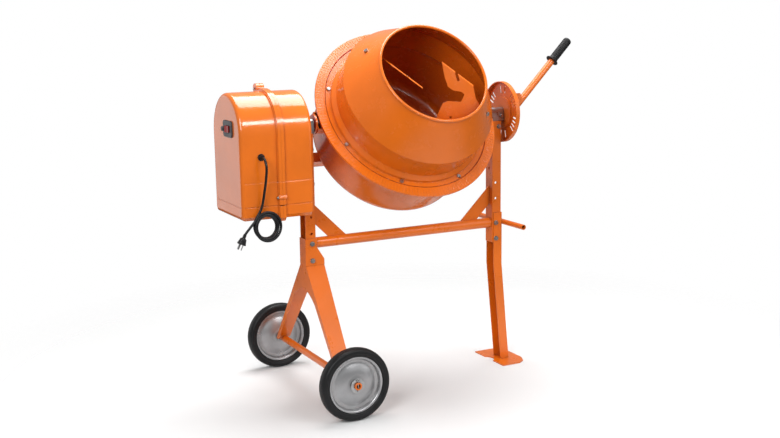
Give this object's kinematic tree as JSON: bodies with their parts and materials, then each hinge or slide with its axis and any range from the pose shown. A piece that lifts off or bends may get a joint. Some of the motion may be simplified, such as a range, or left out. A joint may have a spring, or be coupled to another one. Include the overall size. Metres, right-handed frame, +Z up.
{
  "type": "concrete mixer",
  "caption": "Portable electric concrete mixer: tilting toothed drum with mixing blades on a two-wheeled stand, enclosed motor drive, index disc and tilt lever.",
  "frame": {"origin": "centre of the bounding box without the mains cord, at the ground", "axes": "+X along the tilt axis from the motor housing to the tilt lever, +Y away from the side that the drum mouth faces, +Z up"},
  "size_m": [1.4402, 0.734, 1.2982],
  "materials": {
    "frame_paint": "gloss orange enamel",
    "drum_paint": "gloss orange enamel",
    "lever_paint": "gloss orange enamel",
    "wheel_steel": "silver grey enamel",
    "cover_plastic": "satin moulded orange",
    "tyre_rubber": "matte black",
    "zinc": "zinc plated",
    "bare_steel": "machined",
    "cast_parts": "dark grey",
    "bronze": "sintered bronze",
    "black_rubber": "satin black",
    "grip_plastic": "matte black",
    "switch_plastic": "dark grey",
    "rocker_red": "dark red"
  },
  "bodies": {
    "stand": {"axle": "frame_paint", "axle_washers": "zinc", "braces": "frame_paint", "bracket_bolts": "zinc", "carry_bar": "frame_paint", "cord_coil": "black_rubber", "cord_gland": "black_rubber", "cord_run": "black_rubber", "cord_tail": "black_rubber", "cover_screws": "zinc", "cross_tube": "frame_paint", "drive_belt": "black_rubber", "foot_plate": "frame_paint", "frame_bolts": "zinc", "front_wheel_leg": "frame_paint", "index_disc": "lever_paint", "inner_cover": "cover_plastic", "left_bearing_bracket": "zinc", "left_post": "frame_paint", "motor": "cast_parts", "motor_shelf": "zinc", "mounting_plate": "frame_paint", "outer_cover": "cover_plastic", "pivot_bushings": "bronze", "plug": "black_rubber", "rear_wheel_leg": "frame_paint", "right_bearing_bracket": "zinc", "right_leg": "frame_paint", "right_post": "frame_paint", "split_pins": "zinc", "switch_plate": "switch_plastic"},
    "yoke": {"yoke": "drum_paint", "spindle_bearing": "cast_parts", "pinion_guard": "frame_paint", "lever_bracket": "lever_paint", "lever_pin": "zinc"},
    "drum": {"drum_base": "drum_paint", "drum_bottom": "drum_paint", "drum_top": "drum_paint", "ring_gear": "drum_paint", "ring_bolts": "zinc", "front_mixing_blade": "drum_paint", "rear_mixing_blade": "drum_paint", "blade_bolts": "zinc", "drum_spindle": "bare_steel", "spindle_nut": "zinc"},
    "drive": {"drive_shaft": "bare_steel", "pinion": "bare_steel", "large_pulley": "cast_parts"},
    "motor_rotor": {"motor_pulley": "bare_steel"},
    "tilt_lever": {"tilt_lever": "lever_paint", "latch_fork": "lever_paint", "lever_grip": "grip_plastic", "lever_spring": "zinc"},
    "front_wheel": {"front_tyre": "tyre_rubber", "front_wheel_disc": "wheel_steel"},
    "rear_wheel": {"rear_tyre": "tyre_rubber", "rear_wheel_disc": "wheel_steel"},
    "power_rocker": {"power_rocker": "rocker_red"},
    "reset_button": {"reset_button": "switch_plastic"}
  },
  "joints": [
    {"name": "tilt", "type": "hinge", "parent": "stand", "child": "yoke", "pos_m": [-0.0251, 0, 0.966], "axis": [1, 0, 0], "range_deg": [-55.5, 113.5]},
    {"name": "drum_spin", "type": "hinge", "parent": "yoke", "child": "drum", "pos_m": [-0.0251, 0, 0.966], "axis": [0, -0.7976, 0.6032], "continuous": true},
    {"name": "pinion_spin", "type": "hinge", "parent": "yoke", "child": "drive", "pos_m": [-0.0251, 0, 0.966], "axis": [1, 0, 0], "continuous": true},
    {"name": "motor_spin", "type": "hinge", "parent": "stand", "child": "motor_rotor", "pos_m": [-0.4726, 0, 0.77], "axis": [1, 0, 0], "continuous": true},
    {"name": "latch_lever", "type": "hinge", "parent": "yoke", "child": "tilt_lever", "pos_m": [0.4379, 0, 0.96], "axis": [0, 1, 0], "range_deg": [-6, 6], "stiffness_Nm_per_rad": 40, "springref_deg": -2.29},
    {"name": "front_wheel_spin", "type": "hinge", "parent": "stand", "child": "front_wheel", "pos_m": [-0.4006, -0.335, 0.125], "axis": [0, 1, 0], "continuous": true},
    {"name": "rear_wheel_spin", "type": "hinge", "parent": "stand", "child": "rear_wheel", "pos_m": [-0.4006, 0.335, 0.125], "axis": [0, 1, 0], "continuous": true},
    {"name": "rocker_press", "type": "hinge", "parent": "stand", "child": "power_rocker", "pos_m": [-0.7011, -0.036, 0.9695], "axis": [0, 0, -1], "range_deg": [0, 12]},
    {"name": "reset_press", "type": "slide", "parent": "stand", "child": "reset_button", "axis": [1, 0, 0], "range_m": [0, 0.003], "stiffness_N_per_m": 600}
  ],
  "couplings": [
    {"joint": "pinion_spin", "follows": "drum_spin", "ratio": 12.4},
    {"joint": "motor_spin", "follows": "drum_spin", "ratio": 50.633}
  ]
}
